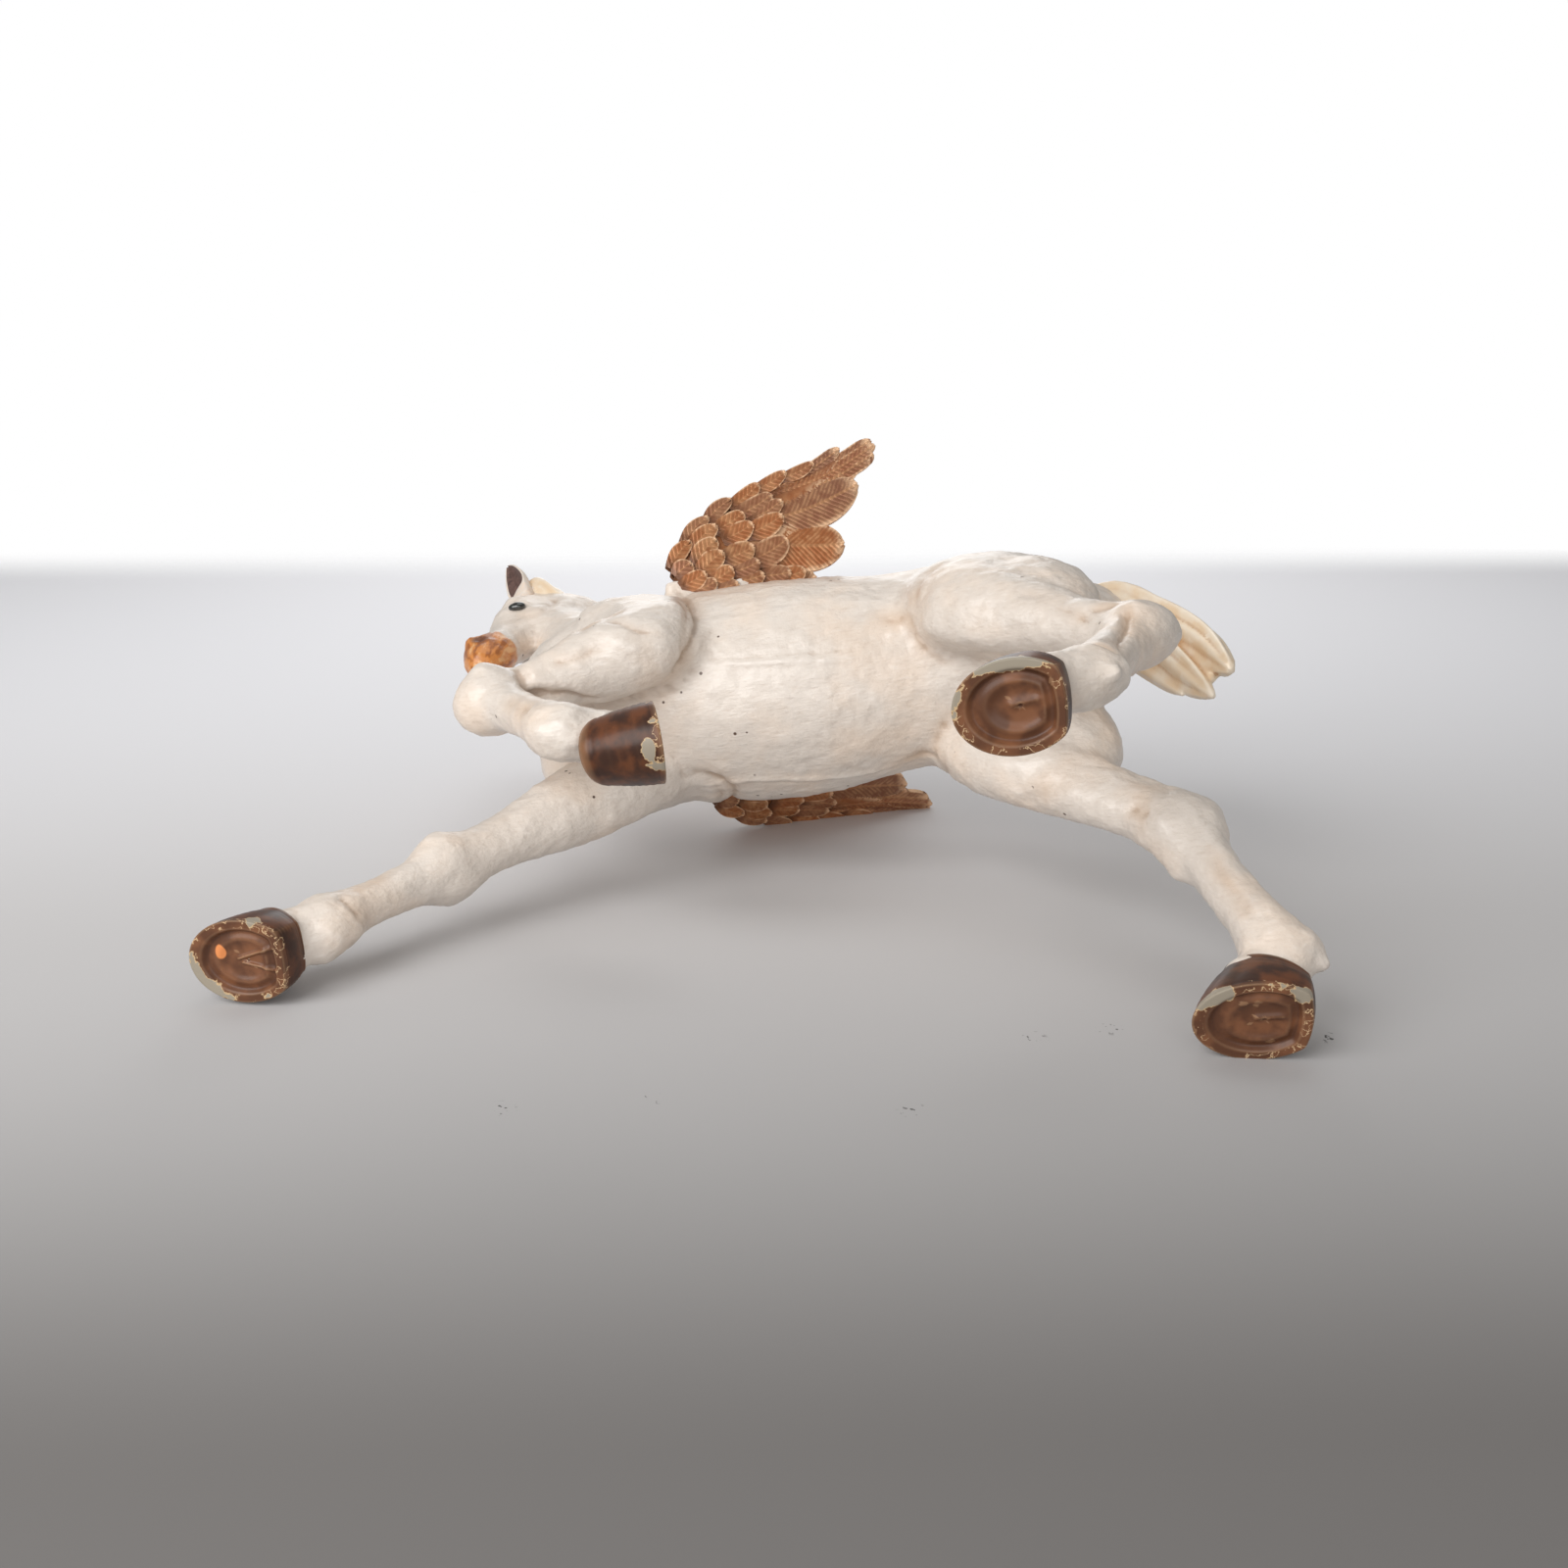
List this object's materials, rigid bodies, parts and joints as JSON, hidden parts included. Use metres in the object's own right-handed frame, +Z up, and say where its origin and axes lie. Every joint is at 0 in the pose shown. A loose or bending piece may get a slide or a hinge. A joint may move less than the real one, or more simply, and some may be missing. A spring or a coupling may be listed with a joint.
{
  "type": "pegasus figurine",
  "caption": "Winged foal toy figurine in mid-stride, moulded in one piece, with one fore leg raised, half-raised feathered wings, a short mane and a full tail.",
  "frame": {"origin": "middle of the figurine's bounding box, on the ground under its hooves", "axes": "+Z up, -Y towards the head, +Y towards the tail, +X to the figurine's own left"},
  "size_m": [0.0528, 0.1034, 0.0886],
  "materials": {
    "painted_vinyl": "pearly off-white paint on soft vinyl; the visual model also has the brown hooves and wings and the pale mane and tail"
  },
  "bodies": {
    "root": {"pegasus_figurine": "painted_vinyl"}
  },
  "joints": []
}
